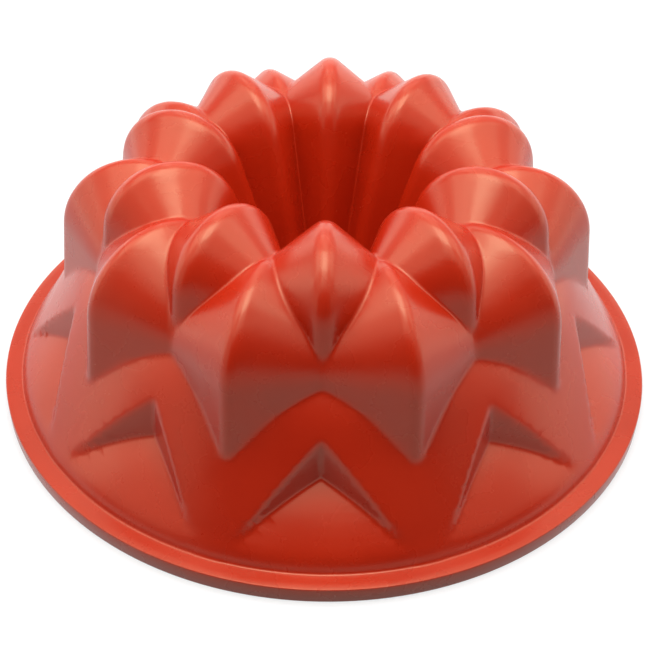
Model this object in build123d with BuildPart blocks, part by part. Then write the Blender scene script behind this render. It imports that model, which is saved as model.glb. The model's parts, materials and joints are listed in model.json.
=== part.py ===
from build123d import *
import os
from math import cos, radians, sin, tan

# Moulded silicone bundt pan, standing on its rim with the lobes up.
#
# The pan has ten-fold symmetry about Z. Ten outer lobes and ten crown lobes ring an open, fluted centre
# tube. Under them a flared skirt runs down to the rim, with ten niches pressed into it. One solid,
# form(0), is the outside of the pan; form(WALL) is the same shape a wall thickness further in, and the
# silicone is what lies between the two. A steel wire hidden in the rim keeps the soft mouth round.
# Units are millimetres.

# Driving dimensions
LOBES = 10
WALL = 2.2
RIM_RADIUS = 125.0
RIM_HEIGHT = 6.0
RIM_EDGE_RADIUS = 0.4
WIRE_DIAMETER = 3.0
WIRE_RING_RADIUS = 121.2
TUBE_END_HEIGHT = 8.0
TUBE_CLEARING_RADIUS = 60.0

# Crown lobe: a round arch over the ring, with straight drafted legs
CROWN_ARCH_CENTRE = (57.2, 73.6)
CROWN_ARCH_RADIUS = 25.8
CROWN_OUTER_DRAFT = 8.3
CROWN_TUBE_DRAFT = 17.5
CROWN_FLANK_ANGLE = 37.9
CROWN_CREST_RADIUS = 5.5
CROWN_HALF_WIDTH = 26.0

# Outer lobe: a drafted front, a wide bend over the top and a tighter one back into the crown
OUTER_FOOT = (102.9, 25.0)
OUTER_DRAFT = 6.7
OUTER_BEND_HEIGHT = 61.0
OUTER_BEND_RADIUS = 32.0
OUTER_BACK_RADIUS = 23.3
OUTER_BEND_END = 85.2
OUTER_BACK_END = 135.0
OUTER_FLANK_ANGLE = 34.0
OUTER_CREST_RADIUS = 4.2
OUTER_HALF_WIDTH = 27.5

# Lower wall: a dome that rises steeply from the rim and bends over, and the skirt that leaves the bend as
# a tangent, runs up straight to its shoulder and rounds in under the lobes. The dome shows as each niche's
# floor. Slopes are measured from level.
DOME_FOOT = (118.5, RIM_HEIGHT)
DOME_FOOT_SLOPE = 75.0
DOME_FOOT_RADIUS = 14.0
DOME_BEND_SLOPE = 46.0
DOME_RADIUS = 110.0
DOME_TOP_SLOPE = 30.0
SKIRT_SLOPE = 57.7
SKIRT_SHOULDER_HEIGHT = 45.5
SKIRT_SHOULDER_RADIUS = 64.0
SKIRT_TOP_SLOPE = 40.0
RING_BORE_RADIUS = 48.0

# Niche: a V-shaped notch whose two faces meet at its apex
NICHE_APEX = (95.3, 43.9)
NICHE_LEAN = 3.9
NICHE_OPENING_ANGLE = 27.1

# How far the cutting shapes run past the pan
DEPTH_BELOW = 45.0
NOTCH_HALF_HEIGHT = 70.0
TRIM_WIDTH = 300.0
SECTOR = 360 / LOBES
FRONT = -90.0


def along(start, angle, length):
    """The point at a length and an angle in degrees from a start point."""
    return (start[0] + length * cos(radians(angle)), start[1] + length * sin(radians(angle)))


def drafted_foot(point, draft, bottom):
    """Where a leg that leans outwards by the draft angle reaches the bottom height."""
    return (point[0] + (point[1] - bottom) * tan(radians(draft)), bottom)


def dome_foot_arc(inset):
    """Foot, centre and radius of the tight arc at the foot of the dome."""
    foot = along(DOME_FOOT, 90 - DOME_FOOT_SLOPE, -inset)
    radius = DOME_FOOT_RADIUS - inset
    return foot, along(foot, 90 - DOME_FOOT_SLOPE, -radius), radius


def crown_outline(inset):
    """Closed side outline of a crown lobe: arch, outer leg, bottom and tube-side leg."""
    radius = CROWN_ARCH_RADIUS - inset
    bottom = -DEPTH_BELOW
    arch_turn = 180 - CROWN_TUBE_DRAFT - CROWN_OUTER_DRAFT
    start = along(CROWN_ARCH_CENTRE, CROWN_OUTER_DRAFT, radius)
    end = along(CROWN_ARCH_CENTRE, 180 - CROWN_TUBE_DRAFT, radius)
    outer_foot = drafted_foot(start, CROWN_OUTER_DRAFT, bottom)
    tube_foot = drafted_foot(end, -CROWN_TUBE_DRAFT, bottom)
    with BuildSketch(Plane.XY) as outline:
        with BuildLine():
            CenterArc(CROWN_ARCH_CENTRE, radius, CROWN_OUTER_DRAFT, arch_turn)
            Polyline(end, tube_foot, outer_foot, start)
        make_face()
    return outline.sketch


def outer_outline(inset):
    """Closed side outline of an outer lobe: drafted front, bend, back bend, and a plain back and bottom."""
    front = along(drafted_foot(OUTER_FOOT, OUTER_DRAFT, OUTER_BEND_HEIGHT), OUTER_DRAFT, -inset)
    bend_radius = OUTER_BEND_RADIUS - inset
    back_radius = OUTER_BACK_RADIUS - inset
    bend_centre = along(front, OUTER_DRAFT, -bend_radius)
    back_centre = along(bend_centre, OUTER_BEND_END, bend_radius - back_radius)
    back = along(back_centre, OUTER_BACK_END, back_radius)
    foot = drafted_foot(front, OUTER_DRAFT, -DEPTH_BELOW)
    with BuildSketch(Plane.XY) as outline:
        with BuildLine():
            CenterArc(bend_centre, bend_radius, OUTER_DRAFT, OUTER_BEND_END - OUTER_DRAFT)
            CenterArc(back_centre, back_radius, OUTER_BEND_END, OUTER_BACK_END - OUTER_BEND_END)
            Polyline(back, (back[0], -DEPTH_BELOW), foot, front)
        make_face()
    return outline.sketch


def lobe(outline, half_width, flank_angle, crest_radius):
    """A lobe with its crest on the XZ plane, pointing along +X, and its flanks falling away evenly."""
    with BuildPart() as flat_lobe:
        add(outline)
        extrude(amount=half_width, taper=flank_angle)
        mirror(about=Plane.XY)
        crest = flat_lobe.edges().filter_by_position(Axis.Z, 0, 0).sort_by(Axis.Y)[1:]
        fillet(crest, radius=crest_radius)
    return flat_lobe.part.rotate(Axis.X, 90)


def skirt_outline(inset):
    """Half section of the skirt with the foot of the dome, from the bore to the outside."""
    foot, foot_centre, foot_radius = dome_foot_arc(inset)
    tangent = along(foot_centre, 90 - SKIRT_SLOPE, foot_radius)
    run = (SKIRT_SHOULDER_HEIGHT - tangent[1]) / sin(radians(SKIRT_SLOPE))
    shoulder = along(tangent, 180 - SKIRT_SLOPE, run)
    radius = SKIRT_SHOULDER_RADIUS - inset
    centre = along(shoulder, 90 - SKIRT_SLOPE, -radius)
    top = along(centre, 90 - SKIRT_TOP_SLOPE, radius)
    bore = RING_BORE_RADIUS + inset
    with BuildSketch(Plane.XZ) as outline:
        with BuildLine():
            CenterArc(centre, radius, 90 - SKIRT_SLOPE, SKIRT_SLOPE - SKIRT_TOP_SLOPE)
            Polyline(top, (bore, top[1]), (bore, -RIM_HEIGHT), (foot[0], -RIM_HEIGHT), foot)
            CenterArc(foot_centre, foot_radius, 90 - DOME_FOOT_SLOPE, DOME_FOOT_SLOPE - SKIRT_SLOPE)
            Line(tangent, shoulder)
        make_face()
    return outline.sketch


def dome_outline(inset):
    """Half section of the dome, whose outer edge drops straight into the rim."""
    foot, foot_centre, foot_radius = dome_foot_arc(inset)
    bend = along(foot_centre, 90 - DOME_BEND_SLOPE, foot_radius)
    radius = DOME_RADIUS - inset
    centre = along(bend, 90 - DOME_BEND_SLOPE, -radius)
    top = along(centre, 90 - DOME_TOP_SLOPE, radius)
    bore = RING_BORE_RADIUS + inset
    with BuildSketch(Plane.XZ) as outline:
        with BuildLine():
            CenterArc(foot_centre, foot_radius, 90 - DOME_FOOT_SLOPE, DOME_FOOT_SLOPE - DOME_BEND_SLOPE)
            CenterArc(centre, radius, 90 - DOME_BEND_SLOPE, DOME_BEND_SLOPE - DOME_TOP_SLOPE)
            Polyline(top, (bore, top[1]), (bore, -RIM_HEIGHT), (foot[0], -RIM_HEIGHT), foot)
        make_face()
    return outline.sketch


def niche_notch(inset):
    """The wedge of air that a niche cuts out of the skirt, pointing along +X."""
    half_angle = 90 - NICHE_OPENING_ANGLE
    apex = NICHE_APEX[0] - inset / sin(radians(half_angle))
    lean = radians(NICHE_LEAN)
    outward = (cos(lean), 0, sin(lean))
    upward = (-sin(lean), 0, cos(lean))
    section = Plane(origin=(apex, 0, NICHE_APEX[1]), x_dir=outward, z_dir=upward)
    with BuildPart() as notch:
        with BuildSketch(section):
            with BuildLine():
                right = (DEPTH_BELOW, -DEPTH_BELOW * tan(radians(half_angle)))
                left = (DEPTH_BELOW, DEPTH_BELOW * tan(radians(half_angle)))
                Polyline((0, 0), right, left, close=True)
            make_face()
        extrude(amount=NOTCH_HALF_HEIGHT, both=True)
    return notch.part


def form(inset):
    """The pan's solid shape, moved in from the outside by the inset."""
    crown_step = inset / cos(radians(CROWN_FLANK_ANGLE))
    outer_step = inset / cos(radians(OUTER_FLANK_ANGLE))
    crown_lobe = lobe(crown_outline(crown_step), CROWN_HALF_WIDTH, CROWN_FLANK_ANGLE, CROWN_CREST_RADIUS)
    outer_lobe = lobe(outer_outline(outer_step), OUTER_HALF_WIDTH, OUTER_FLANK_ANGLE, OUTER_CREST_RADIUS)
    notch = niche_notch(inset)
    with BuildPart() as shape:
        add(skirt_outline(inset))
        revolve(axis=Axis.Z)
        with PolarLocations(0, LOBES, start_angle=FRONT):
            add(notch, mode=Mode.SUBTRACT)
        add(dome_outline(inset))
        revolve(axis=Axis.Z)
        with PolarLocations(0, LOBES, start_angle=FRONT + SECTOR / 2):
            add(outer_lobe)
        with PolarLocations(0, LOBES, start_angle=FRONT):
            add(crown_lobe)
    return shape.part


# The wire ring, bent from round wire and welded shut
with BuildPart() as rim_ring:
    with BuildSketch(Plane.XZ):
        with Locations((WIRE_RING_RADIUS, RIM_HEIGHT / 2)):
            Circle(WIRE_DIAMETER / 2)
    revolve(axis=Axis.Z)

outside = form(0)
inside = form(WALL)

# The silicone: outside less inside, with the thick rim moulded round the wire
with BuildPart() as silicone_shell:
    add(outside)
    with BuildSketch(Plane.XY):
        Circle(RIM_RADIUS)
        Circle(RING_BORE_RADIUS, mode=Mode.SUBTRACT)
    extrude(amount=RIM_HEIGHT)
    rim_edges = silicone_shell.edges().filter_by(GeomType.CIRCLE).sort_by(SortBy.RADIUS)[-2:]
    fillet(rim_edges, radius=RIM_EDGE_RADIUS)
    add(inside, mode=Mode.SUBTRACT)
    with Locations((0, 0, -DEPTH_BELOW)):
        Box(TRIM_WIDTH, TRIM_WIDTH, 2 * DEPTH_BELOW, mode=Mode.SUBTRACT)
    Cylinder(
        TUBE_CLEARING_RADIUS,
        TUBE_END_HEIGHT,
        align=(Align.CENTER, Align.CENTER, Align.MIN),
        mode=Mode.SUBTRACT,
    )
    add(rim_ring.part, mode=Mode.SUBTRACT)

silicone_shell.part.label = "silicone_shell"
rim_ring.part.label = "rim_ring"

os.makedirs("parts", exist_ok=True)
export_step(silicone_shell.part, "parts/silicone_shell.step")
export_step(rim_ring.part, "parts/rim_ring.step")
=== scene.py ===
"""A moulded silicone bundt pan, upside down on a pale floor under soft studio light.

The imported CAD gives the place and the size. The shell is meshed here from the same lobes, dome, skirt
and niches as blended fields, so that the creases have the small round fillets of a moulding.
"""
import json
from math import cos, pi, radians, sin, tan

import bpy
import numpy as np
from mathutils import Matrix, Vector

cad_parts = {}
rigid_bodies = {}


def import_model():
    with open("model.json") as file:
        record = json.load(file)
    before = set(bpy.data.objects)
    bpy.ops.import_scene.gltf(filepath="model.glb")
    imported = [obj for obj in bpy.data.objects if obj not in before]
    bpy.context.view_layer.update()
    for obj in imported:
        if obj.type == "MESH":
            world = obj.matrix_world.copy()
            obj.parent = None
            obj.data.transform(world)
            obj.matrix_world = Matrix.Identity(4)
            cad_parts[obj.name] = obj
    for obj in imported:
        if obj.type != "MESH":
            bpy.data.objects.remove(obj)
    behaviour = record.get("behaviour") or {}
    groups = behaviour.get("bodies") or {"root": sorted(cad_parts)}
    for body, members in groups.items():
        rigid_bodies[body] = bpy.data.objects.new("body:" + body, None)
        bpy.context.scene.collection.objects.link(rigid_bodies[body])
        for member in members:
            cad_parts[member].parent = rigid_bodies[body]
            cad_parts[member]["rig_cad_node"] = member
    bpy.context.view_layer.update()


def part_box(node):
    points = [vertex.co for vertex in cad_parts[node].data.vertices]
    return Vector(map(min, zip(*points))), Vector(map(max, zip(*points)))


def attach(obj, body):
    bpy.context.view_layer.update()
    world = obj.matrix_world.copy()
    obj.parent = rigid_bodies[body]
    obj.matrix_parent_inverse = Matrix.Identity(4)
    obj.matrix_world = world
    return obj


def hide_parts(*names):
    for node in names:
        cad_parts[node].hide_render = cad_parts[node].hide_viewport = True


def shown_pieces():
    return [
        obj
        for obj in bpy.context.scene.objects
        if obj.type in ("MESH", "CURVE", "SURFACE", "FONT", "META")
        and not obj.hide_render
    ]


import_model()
shell_low, shell_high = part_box("silicone_shell")

# The shell is drawn in millimetres and degrees, and MM is one of those millimetres in metres
RIM_RADIUS = 125.0
MM = (shell_high.x - shell_low.x) / 2 / RIM_RADIUS

# Ten equal sectors, each with a crown lobe and a niche in its middle. One faces the front, at -y
LOBES = 10
HALF_SECTOR = 180 / LOBES
FRONT = -90.0

# Wall, rim and tube
WALL = 2.2
RIM_HEIGHT = 6.0
RIM_EDGE_RADIUS = 0.4
MOUTH_EDGE_RADIUS = 0.5
TUBE_END_HEIGHT = 8.0
LIP_DEPTH = 0.6
BORE_RADIUS = 48.0

# Crown lobe: centre and radius of its arch, the directions its two legs face, how steeply its flanks
# fall, and the radius along its crest
CROWN_CENTRE = (57.2, 73.6)
CROWN_RADIUS = 25.8
CROWN_FACES = (8.3, 162.5)
CROWN_FLANK = 37.9
CROWN_CREST = 5.5

# Outer lobe: a drafted front, a wide bend over the top and a tighter one behind it
OUTER_FRONT = (98.67, 61.0)
OUTER_RADIUS = 32.0
OUTER_BACK_RADIUS = 23.3
OUTER_FACES = (6.7, 85.2, 135.0)
OUTER_FLANK = 34.0
OUTER_CREST = 4.2

# Lower wall: a dome that rises steeply from the rim and bends over, and the skirt that leaves the
# bend as a tangent, runs up straight to its shoulder and rounds in there
DOME_FOOT = (118.5, RIM_HEIGHT)
DOME_FOOT_RADIUS = 14.0
DOME_RADIUS = 110.0
DOME_FACES = (15.0, 44.0, 60.0)
SKIRT_FACES = (32.3, 50.0)
SKIRT_SHOULDER_HEIGHT = 45.5
SKIRT_RADIUS = 64.0

# Niche: its top, how far its back edge leans from upright, and how far each wall turns from straight
# across
NICHE_APEX = (95.3, 43.9)
NICHE_LEAN = 3.9
NICHE_OPENING = 27.1

# Widths over which fields blend, which is how round the moulding's edges are
CREASE = 0.6
NICHE_EDGE = 0.7
FLANGE_CREASE = 0.5

# Cells of the mesh: fine steps along one, cells round half a sector, and cells along the parts of the
# section
FINE = 4
COLUMNS = 10
ROWS_OUTSIDE = 92
ROWS_LIP = 4
ROWS_INSIDE = 76
ROWS_STRAIGHT = 2
ROWS_QUARTER = 3

# How far the surface turns in a cell that is cut in four, and in one that is cut in sixteen
TURN_FOR_FOUR = 8.5
TURN_FOR_SIXTEEN = 28.0

# A ray is followed in steps until it leaves the pan, and its last step is then halved
RAY_STEP = 1.5
RAY_REACH = 110.0
RAY_HALVINGS = 20

# Trial rays for each row of points, to space the rows evenly
TRIALS_PER_ROW = 4


def face(angle):
    """Unit vector, in a section, of a face that looks up by an angle from level."""
    return cos(radians(angle)), sin(radians(angle))


def facing(y, z, centre, radius, faces):
    """Signed distance to an arc that faces from one direction to another, with flat faces beyond."""
    across, up = y - centre[0], z - centre[1]
    first, last = face(faces[0]), face(faces[1])
    flat = np.maximum(first[0] * across + first[1] * up, last[0] * across + last[1] * up)
    direction = np.degrees(np.arctan2(up, across))
    rounded = (direction >= faces[0]) & (direction <= faces[1])
    return np.where(rounded, np.hypot(across, up), flat) - radius


def set_back(point, direction, length):
    """The point at a length behind a face."""
    out, up = face(direction)
    return point[0] - length * out, point[1] - length * up


def soft_min(a, b, width):
    """The lower of two fields, blended where they are closer than the width."""
    share = np.clip(0.5 + 0.5 * (b - a) / width, 0, 1)
    return b * (1 - share) + a * share - width * share * (1 - share)


def soft_max(a, b, width):
    """The higher of two fields, blended where they are closer than the width."""
    return -soft_min(-a, -b, width)


def ridge(x, flank, crest):
    """How far a lobe's roof has come down at x from its crest, with the crest rounded to a radius."""
    off = abs(x)
    reach = crest * sin(radians(flank))
    arc = np.sqrt(np.maximum(crest**2 - np.minimum(off, reach) ** 2, 0))
    return np.where(off < reach, crest / cos(radians(flank)) - arc, tan(radians(flank)) * off)


def lobe(side, x, flank, crest):
    """Field of a lobe from its side outline's field and the distance from its middle plane."""
    return (side + ridge(x, flank, crest)) * cos(radians(flank))


def turned(x, y, angle):
    """x and y seen from axes turned by an angle towards +x."""
    c, s = cos(radians(angle)), sin(radians(angle))
    return x * c - y * s, x * s + y * c


OUTER_BEND = set_back(OUTER_FRONT, OUTER_FACES[0], OUTER_RADIUS)
OUTER_BACK = set_back(OUTER_BEND, OUTER_FACES[1], OUTER_BACK_RADIUS - OUTER_RADIUS)
OUTER_END = set_back(OUTER_BACK, OUTER_FACES[2], -OUTER_BACK_RADIUS)[0]
DOME_FOOT_CENTRE = set_back(DOME_FOOT, DOME_FACES[0], DOME_FOOT_RADIUS)
DOME_CENTRE = set_back(DOME_FOOT_CENTRE, DOME_FACES[1], DOME_RADIUS - DOME_FOOT_RADIUS)
DOME_TOP = set_back(DOME_CENTRE, DOME_FACES[2], -DOME_RADIUS)[1]
SKIRT_FOOT = set_back(DOME_FOOT_CENTRE, SKIRT_FACES[0], -DOME_FOOT_RADIUS)
SKIRT_RUN = (SKIRT_SHOULDER_HEIGHT - SKIRT_FOOT[1]) * tan(radians(SKIRT_FACES[0]))
SKIRT_SHOULDER = (SKIRT_FOOT[0] - SKIRT_RUN, SKIRT_SHOULDER_HEIGHT)
SKIRT_CENTRE = set_back(SKIRT_SHOULDER, SKIRT_FACES[0], SKIRT_RADIUS)
SKIRT_TOP = set_back(SKIRT_CENTRE, SKIRT_FACES[1], -SKIRT_RADIUS)[1]
MOUTH_RADIUS, MOUTH_TOP = set_back(DOME_FOOT, DOME_FACES[0], WALL)

# Rays that sweep a section from the rim over the top and down the tube: place in the sweep, radius
# and height of the ray's start, and its direction
SWEEP_OUTSIDE = (
    (0.00, RIM_RADIUS - RIM_EDGE_RADIUS, -25, 90),
    (0.03, DOME_FOOT[0], -25, 90),
    (0.09, 100.5, -22.7, 70),
    (0.22, 63, 6, 35),
    (0.33, 60, 28, 22),
    (0.48, 60, 60, 22),
    (0.72, 60, 60, 110),
    (0.86, 58, 50, 180),
    (1.00, 45, TUBE_END_HEIGHT + LIP_DEPTH, 180),
)
SWEEP_INSIDE = ((0.05, MOUTH_RADIUS, -25, 90),) + SWEEP_OUTSIDE[2:]


def crown_field(x, y, z):
    """A crown lobe, whose middle plane is x = 0."""
    side = facing(y, z, CROWN_CENTRE, CROWN_RADIUS, CROWN_FACES)
    return lobe(side, x, CROWN_FLANK, CROWN_CREST)


def outer_field(x, y, z):
    """An outer lobe, whose middle plane is x = 0."""
    bend = facing(y, z, OUTER_BEND, OUTER_RADIUS, OUTER_FACES[:2])
    back = facing(y, z, OUTER_BACK, OUTER_BACK_RADIUS, OUTER_FACES[1:])
    side = np.maximum(np.maximum(bend, back), OUTER_END - y)
    return lobe(side, x, OUTER_FLANK, OUTER_CREST)


def wall_field(radius, z, foot_faces, centre, bend_radius, faces, top):
    """A round wall that rises from the dome's foot into a bend, and ends level at the top."""
    foot = facing(radius, z, DOME_FOOT_CENTRE, DOME_FOOT_RADIUS, foot_faces)
    bend = facing(radius, z, centre, bend_radius, faces)
    return np.maximum(np.maximum(bend, foot), z - top)


def niche_field(x, y, z):
    """Above zero in the niche, in front of its two walls, which meet at x = 0."""
    share_out, share_across = face(NICHE_OPENING)
    past_edge = y - NICHE_APEX[0] - tan(radians(NICHE_LEAN)) * (NICHE_APEX[1] - z)
    return past_edge * share_out - abs(x) * share_across


def pan_field(x, y, z):
    """The pan's outside without its flange, over one sector whose crown lobe is at x = 0."""
    radius = np.hypot(x, y)
    bore = BORE_RADIUS - radius
    next_crown = crown_field(*turned(x, y, 2 * HALF_SECTOR), z)
    crowns = soft_min(crown_field(x, y, z), next_crown, CREASE)
    outers = [outer_field(*turned(x, y, angle), z) for angle in (HALF_SECTOR, -HALF_SECTOR)]
    foot_faces = (DOME_FACES[0], SKIRT_FACES[0])
    skirt = wall_field(radius, z, foot_faces, SKIRT_CENTRE, SKIRT_RADIUS, SKIRT_FACES, SKIRT_TOP)
    dome = wall_field(radius, z, DOME_FACES[:2], DOME_CENTRE, DOME_RADIUS, DOME_FACES[1:], DOME_TOP)
    skirt = soft_max(skirt, niche_field(x, y, z), NICHE_EDGE)
    pan = soft_min(crowns, soft_min(*outers, CREASE), CREASE)
    pan = soft_min(pan, np.maximum(skirt, bore), CREASE)
    return soft_min(pan, np.maximum(dome, bore), CREASE)


def outside(x, y, z):
    """The pan's outer surface, flange and all."""
    flange = np.maximum(np.hypot(x, y) - RIM_RADIUS, z - RIM_HEIGHT)
    return soft_min(pan_field(x, y, z), flange, FLANGE_CREASE)


def inside(x, y, z):
    """The pan's inner surface, a wall thickness inside the outer one."""
    return pan_field(x, y, z) + WALL


def cast(field, azimuth, places, sweep):
    """Radius and height where each ray of the sweep leaves the field, for each azimuth."""
    keys = np.array(sweep, float).T
    start_r, start_z, direction = (np.interp(places, keys[0], values) for values in keys[1:])
    direction = np.radians(direction)
    sine, cosine = np.sin(azimuth)[:, None], np.cos(azimuth)[:, None]
    shape = (len(azimuth), len(places))

    def point(t):
        return start_r + t * np.cos(direction), start_z + t * np.sin(direction)

    def value(t):
        r, z = point(t)
        return field(r * sine, r * cosine, z + 0 * r)

    near, far, found = np.zeros(shape), np.zeros(shape), np.zeros(shape, bool)
    for t in np.arange(RAY_STEP, RAY_REACH, RAY_STEP):
        out = (value(np.full(shape, t)) > 0) & ~found
        near[out], far[out] = t - RAY_STEP, t
        found |= out
    if not found.all():
        raise ValueError(f"{(~found).sum()} rays never leave the pan")
    for _ in range(RAY_HALVINGS):
        middle = (near + far) / 2
        within = value(middle) <= 0
        near, far = np.where(within, middle, near), np.where(within, far, middle)
    return np.stack(point((near + far) / 2), -1)


def even_places(field, azimuth, sweep, count):
    """Places in the sweep that are evenly spaced along the surface, taken over all azimuths."""
    trial = np.linspace(sweep[0][0], 1, TRIALS_PER_ROW * count)
    section = cast(field, azimuth[::FINE], trial, sweep)
    lengths = np.linalg.norm(np.diff(section, axis=1), axis=-1).mean(0)
    travelled = np.concatenate([[0], np.cumsum(lengths)])
    return np.interp(np.linspace(0, travelled[-1], count), travelled, trial)


def quarter(centre, radius, start):
    """Points of a quarter circle, after its first one."""
    angles = np.radians(start + np.linspace(0, 90, ROWS_QUARTER * FINE + 1)[1:])
    return [(centre[0] + radius * cos(a), centre[1] + radius * sin(a)) for a in angles]


def straight(start, end):
    """Points of a straight run, after its first one."""
    share = np.linspace(0, 1, ROWS_STRAIGHT * FINE + 1)[1:, None]
    return list(np.array(start) * (1 - share) + np.array(end) * share)


def rim_section():
    """The rim's section, from the inside of the mouth under the rim and up to the flange's top."""
    edge, side = RIM_EDGE_RADIUS, RIM_RADIUS - RIM_EDGE_RADIUS
    mouth = MOUTH_RADIUS + MOUTH_EDGE_RADIUS
    points = straight((MOUTH_RADIUS, MOUTH_TOP), (MOUTH_RADIUS, MOUTH_EDGE_RADIUS))
    points += quarter((mouth, MOUTH_EDGE_RADIUS), MOUTH_EDGE_RADIUS, 180)
    points += straight((mouth, 0), (side, 0))
    points += quarter((side, edge), edge, 270)
    points += straight((RIM_RADIUS, edge), (RIM_RADIUS, RIM_HEIGHT - edge))
    points += quarter((side, RIM_HEIGHT - edge), edge, 0)
    return np.array(points)[:-1]


def lip_section(outer_end, inner_end):
    """The rounded end of the tube, between the last points of the outer and inner surfaces."""
    angles = np.linspace(0, pi, ROWS_LIP * FINE + 1)[1:-1]
    middle, half = (outer_end + inner_end) / 2, (inner_end - outer_end) / 2
    section = middle[:, None] - half[:, None] * np.cos(angles)[:, None]
    section[..., 1] -= LIP_DEPTH * np.sin(angles)
    return section


def shell_grid():
    """Every fine point of the shell: azimuth round the pan by place round the closed section."""
    azimuth = np.radians(np.linspace(0, HALF_SECTOR, COLUMNS * FINE + 1))
    places = even_places(outside, azimuth, SWEEP_OUTSIDE, ROWS_OUTSIDE * FINE + 1)
    outer = cast(outside, azimuth, places, SWEEP_OUTSIDE)
    places = even_places(inside, azimuth, SWEEP_INSIDE, ROWS_INSIDE * FINE + 1)
    inner = cast(inside, azimuth, places, SWEEP_INSIDE)
    rim = rim_section()
    rim = np.broadcast_to(rim, (len(azimuth),) + rim.shape)
    lip = lip_section(outer[:, -1], inner[:, -1])
    half = np.concatenate([outer, lip, inner[:, ::-1], rim], axis=1)
    # Half a sector is used forwards and backwards in turn, all the way round
    steps = COLUMNS * FINE
    folded = np.abs((np.arange(2 * LOBES * steps) + steps) % (2 * steps) - steps)
    turn = np.radians(FRONT) + np.arange(len(folded)) * azimuth[1]
    r, z = half[folded, :, 0], half[folded, :, 1]
    return np.stack([r * np.cos(turn)[:, None], r * np.sin(turn)[:, None], z], -1)


def cell_levels(grid):
    """How finely each cell is cut, from how far the surface turns in it.

    0 is whole, 1 in four and 2 in sixteen. The inside is cut in four at most, and the lip and the rim
    not at all.
    """
    across = np.roll(grid, -1, 0) - np.roll(grid, 1, 0)
    along = np.roll(grid, -1, 1) - np.roll(grid, 1, 1)
    normal = np.cross(across, along)
    normal /= np.linalg.norm(normal, axis=-1, keepdims=True)
    offsets = [(i, j) for i in range(FINE + 1) for j in range(FINE + 1)]
    samples = np.stack([np.roll(normal, (-i, -j), (0, 1))[::FINE, ::FINE] for i, j in offsets])
    mean = samples.mean(0)
    mean /= np.linalg.norm(mean, axis=-1, keepdims=True)
    turn = np.degrees(np.arccos(np.clip((samples * mean).sum(-1).min(0), -1, 1)))
    level = (turn > TURN_FOR_FOUR).astype(int) + (turn > TURN_FOR_SIXTEEN)
    inner_start = ROWS_OUTSIDE + ROWS_LIP
    level[:, inner_start:] = np.minimum(level[:, inner_start:], 1)
    level[:, ROWS_OUTSIDE:inner_start] = 0
    level[:, inner_start + ROWS_INSIDE:] = 0
    return level


def polygons(grid):
    """Vertices and faces of the shell. A cell beside a finer one takes in that one's vertices."""
    level = cell_levels(grid)
    columns, rows = grid.shape[:2]
    used = np.zeros((columns, rows), bool)
    cells = []
    for depth in range(level.max() + 1):
        step = FINE >> depth
        for c, r in zip(*np.nonzero(level == depth)):
            for i in range(0, FINE, step):
                for j in range(0, FINE, step):
                    cells.append((c * FINE + i, r * FINE + j, step))
    for c, r, step in cells:
        for i, j in ((0, 0), (step, 0), (step, step), (0, step)):
            used[(c + i) % columns, (r + j) % rows] = True
    number = np.cumsum(used.ravel()).reshape(used.shape) - 1
    faces = []
    for c, r, step in cells:
        walk = [(i, 0) for i in range(step)] + [(step, j) for j in range(step)]
        walk += [(i, step) for i in range(step, 0, -1)] + [(0, j) for j in range(step, 0, -1)]
        places = [((c + i) % columns, (r + j) % rows) for i, j in walk]
        faces.append([int(number[p]) for p in places if used[p]])
    return grid[used] * MM, faces


verts, faces = polygons(shell_grid())
mesh = bpy.data.meshes.new("pan_shell")
mesh.from_pydata(verts.tolist(), [], faces)
mesh.update()
mesh.polygons.foreach_set("use_smooth", [True] * len(faces))
shell = bpy.data.objects.new("pan_shell", mesh)
bpy.context.collection.objects.link(shell)
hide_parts("silicone_shell")
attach(shell, "root")


def material(name):
    """A new node material, with its node tree and its shader."""
    made = bpy.data.materials.new(name)
    made.use_nodes = True
    return made, made.node_tree, made.node_tree.nodes["Principled BSDF"]


# The share of a noise over which a look goes from its low end to its high end
NOISE_SPAN = (0.3, 0.7)


def noise(tree, scale, detail, stretch=(1, 1, 1)):
    """Noise in the object's own place, in cycles a metre, finer along an axis with more stretch."""
    place = tree.nodes.new("ShaderNodeTexCoord")
    mapping = tree.nodes.new("ShaderNodeMapping")
    mapping.inputs["Scale"].default_value = stretch
    made = tree.nodes.new("ShaderNodeTexNoise")
    made.inputs["Scale"].default_value = scale
    made.inputs["Detail"].default_value = detail
    tree.links.new(place.outputs["Object"], mapping.inputs["Vector"])
    tree.links.new(mapping.outputs["Vector"], made.inputs["Vector"])
    return made.outputs["Fac"]


def tinted(tree, share, low, high, into):
    """Colour a socket between two colours by a noise's share."""
    ramp = tree.nodes.new("ShaderNodeValToRGB")
    for stop, position, colour in zip(ramp.color_ramp.elements, NOISE_SPAN, (low, high)):
        stop.position = position
        stop.color = (*colour, 1)
    tree.links.new(share, ramp.inputs["Fac"])
    tree.links.new(ramp.outputs["Color"], into)


def varied(tree, share, low, high, into):
    """Vary a socket between two values by a noise's share."""
    spread = tree.nodes.new("ShaderNodeMapRange")
    spread.inputs["From Min"].default_value, spread.inputs["From Max"].default_value = NOISE_SPAN
    spread.inputs["To Min"].default_value, spread.inputs["To Max"].default_value = low, high
    tree.links.new(share, spread.inputs["Value"])
    tree.links.new(spread.outputs["Result"], into)


def bumped(tree, shader, layers):
    """Give a shader a bump from layers of noise, each with its height in metres."""
    normal = None
    for share, height in layers:
        bump = tree.nodes.new("ShaderNodeBump")
        bump.inputs["Distance"].default_value = height
        tree.links.new(share, bump.inputs["Height"])
        if normal:
            tree.links.new(normal, bump.inputs["Normal"])
        normal = bump.outputs["Normal"]
    tree.links.new(normal, shader.inputs["Normal"])


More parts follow.
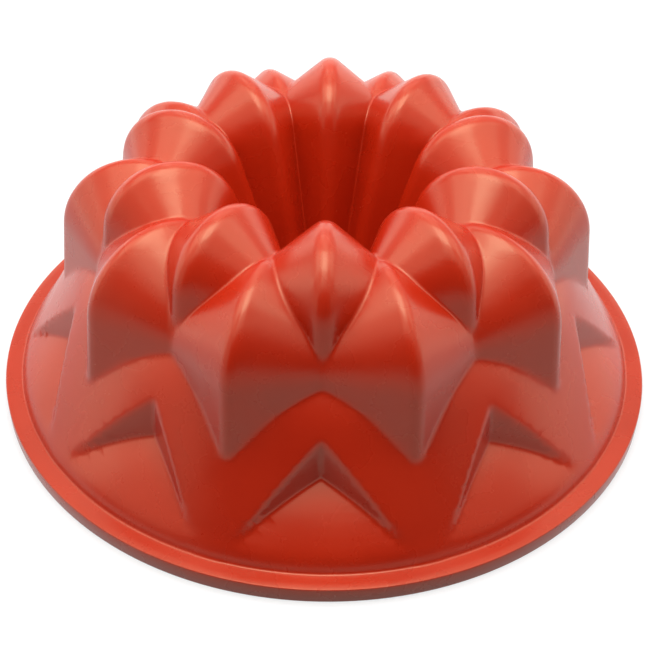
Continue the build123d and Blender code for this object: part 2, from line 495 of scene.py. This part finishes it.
# Brick-red silicone: cloudy pigment, uneven gloss, and a fine grain with faint level streaks from the
# mould. Each noise is its cycles a metre, its detail and, where it has one, its stretch along each axis
PIGMENT_CLOUDS = (28, 5)
PIGMENT_DARK, PIGMENT_BRIGHT = (0.355, 0.0118, 0.0019), (0.405, 0.0152, 0.0026)
GLOSS_CLOUDS = (55, 6)
GLOSS_ROUGHNESS = (0.24, 0.30)
SILICONE_SPECULAR = 0.55
SILICONE_SPECULAR_TINT = (1, 0.95, 0.70, 1)
GRAIN, GRAIN_HEIGHT = (900, 3), 0.000004
MOULD_STREAKS, STREAK_HEIGHT = (30, 4, (1, 1, 25)), 0.00003

silicone, tree, shader = material("silicone")
pigment = noise(tree, *PIGMENT_CLOUDS)
tinted(tree, pigment, PIGMENT_DARK, PIGMENT_BRIGHT, shader.inputs["Base Color"])
varied(tree, noise(tree, *GLOSS_CLOUDS), *GLOSS_ROUGHNESS, shader.inputs["Roughness"])
shader.inputs["Specular IOR Level"].default_value = SILICONE_SPECULAR
shader.inputs["Specular Tint"].default_value = SILICONE_SPECULAR_TINT
grain, streaks = noise(tree, *GRAIN), noise(tree, *MOULD_STREAKS)
bumped(tree, shader, ((grain, GRAIN_HEIGHT), (streaks, STREAK_HEIGHT)))
shell.data.materials.append(silicone)

# Steel wire: cloudy grey metal with a dull, uneven finish and shallow marks
STEEL_CLOUDS = (90, 4)
STEEL_DARK, STEEL_BRIGHT = (0.52, 0.52, 0.53), (0.66, 0.66, 0.67)
STEEL_FINISH = (160, 5, (1, 1, 12))
STEEL_ROUGHNESS = (0.26, 0.42)
STEEL_MARKS, MARK_HEIGHT = (240, 3, (1, 1, 12)), 0.00002

steel, tree, shader = material("ring_wire")
shader.inputs["Metallic"].default_value = 1
clouds = noise(tree, *STEEL_CLOUDS)
tinted(tree, clouds, STEEL_DARK, STEEL_BRIGHT, shader.inputs["Base Color"])
varied(tree, noise(tree, *STEEL_FINISH), *STEEL_ROUGHNESS, shader.inputs["Roughness"])
bumped(tree, shader, ((noise(tree, *STEEL_MARKS), MARK_HEIGHT),))
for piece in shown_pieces():
    if piece.get("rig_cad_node") == "rim_ring":
        piece.data.materials.clear()
        piece.data.materials.append(steel)

# Camera: in front of the pan, a little to one side and rolled, aimed at a point on the pan's axis.
# Distance and aim height are in millimetres of the pan, the clip is in metres
VIEW_DISTANCE = 480.6
VIEW_ELEVATION = 39.4
VIEW_AZIMUTH = 0.35
VIEW_ROLL = 0.87
AIM_HEIGHT = 13.6
LENS = 67.1
CLIP_START = 0.01

camera = bpy.data.objects.new("camera", bpy.data.cameras.new("camera"))
bpy.context.collection.objects.link(camera)
camera.data.lens = LENS
aim = (
    Matrix.Rotation(radians(VIEW_AZIMUTH), 4, "Z")
    @ Matrix.Rotation(radians(90 - VIEW_ELEVATION), 4, "X")
)
camera.matrix_world = (
    Matrix.Translation((0, 0, AIM_HEIGHT * MM))
    @ aim
    @ Matrix.Translation((0, 0, VIEW_DISTANCE * MM))
    @ Matrix.Rotation(radians(VIEW_ROLL), 4, "Z")
)
camera.data.clip_start = CLIP_START
bpy.context.scene.camera = camera

# Floor: seen and reflected as near white, but it doesn't light the pan's sides
FLOOR_SIZE = 30
FLOOR_COLOUR = (0.26, 0.265, 0.30, 1)
FLOOR_ROUGHNESS = 0.9
FLOOR_GLOW = 0.62
WHITE = (1, 1, 1, 1)

bpy.ops.mesh.primitive_plane_add(size=FLOOR_SIZE, location=(0, 0, shell_low.z))
floor = bpy.context.object
floor.name = "floor"
floor.visible_diffuse = False
floor_look, _, shader = material("floor")
shader.inputs["Base Color"].default_value = FLOOR_COLOUR
shader.inputs["Roughness"].default_value = FLOOR_ROUGHNESS
shader.inputs["Emission Color"].default_value = WHITE
shader.inputs["Emission Strength"].default_value = FLOOR_GLOW
floor.data.materials.append(floor_look)

# World: a faint white glow from every side
SKY_GLOW = 0.07
world = bpy.data.worlds.new("studio")
world.use_nodes = True
background = world.node_tree.nodes["Background"]
background.inputs["Color"].default_value = WHITE
background.inputs["Strength"].default_value = SKY_GLOW
bpy.context.scene.world = world

# Soft lights on a sphere, its radius and heights in metres. Each light's row is its azimuth from the
# camera's side, its elevation, its side in metres and its power in watts
LIGHT_DISTANCE = 0.65
LIGHT_CENTRE_HEIGHT = 0.03
LIGHT_AIM_HEIGHT = 0.04
LIGHT_COLOUR = (1.0, 0.97, 0.85)
SOFTBOXES = (
    (0, 85, 0.34, 2.60),
    (0, 60, 0.34, 0.55),
    (315, 58, 0.45, 0.75),
    (50, 58, 0.45, 0.60),
    (270, 60, 0.34, 1.00),
    (90, 60, 0.34, 0.75),
    (220, 60, 0.45, 0.48),
    (135, 60, 0.45, 0.42),
    (180, 60, 0.34, 0.50),
    (300, 24, 0.45, 0.50),
    (270, 36, 0.34, 0.46),
    (220, 36, 0.50, 0.56),
    (180, 36, 0.34, 0.40),
    (132, 36, 0.50, 0.62),
    (90, 36, 0.34, 0.46),
    (60, 28, 0.40, 0.26),
    (270, 12, 0.34, 0.60),
    (240, 12, 0.34, 0.54),
    (210, 12, 0.34, 0.42),
    (180, 12, 0.34, 0.44),
    (150, 12, 0.34, 0.48),
    (120, 12, 0.34, 0.54),
    (90, 12, 0.34, 0.54),
)


def softbox(azimuth, elevation, size, power):
    """A square soft light at an azimuth from the camera's side, towards +x, and an elevation."""
    lamp = bpy.data.lights.new("softbox", "AREA")
    lamp.shape = "SQUARE"
    lamp.size = size
    lamp.energy = power
    lamp.color = LIGHT_COLOUR
    box = bpy.data.objects.new("softbox", lamp)
    turn, rise = radians(azimuth), radians(elevation)
    way = Vector((sin(turn) * cos(rise), -cos(turn) * cos(rise), sin(rise)))
    box.location = Vector((0, 0, LIGHT_CENTRE_HEIGHT)) + way * LIGHT_DISTANCE
    towards_pan = Vector((0, 0, LIGHT_AIM_HEIGHT)) - box.location
    box.rotation_euler = towards_pan.to_track_quat("-Z", "Y").to_euler()
    bpy.context.collection.objects.link(box)


for azimuth, elevation, size, power in SOFTBOXES:
    softbox(azimuth, elevation, size, power)

bpy.context.scene.view_settings.view_transform = "Standard"
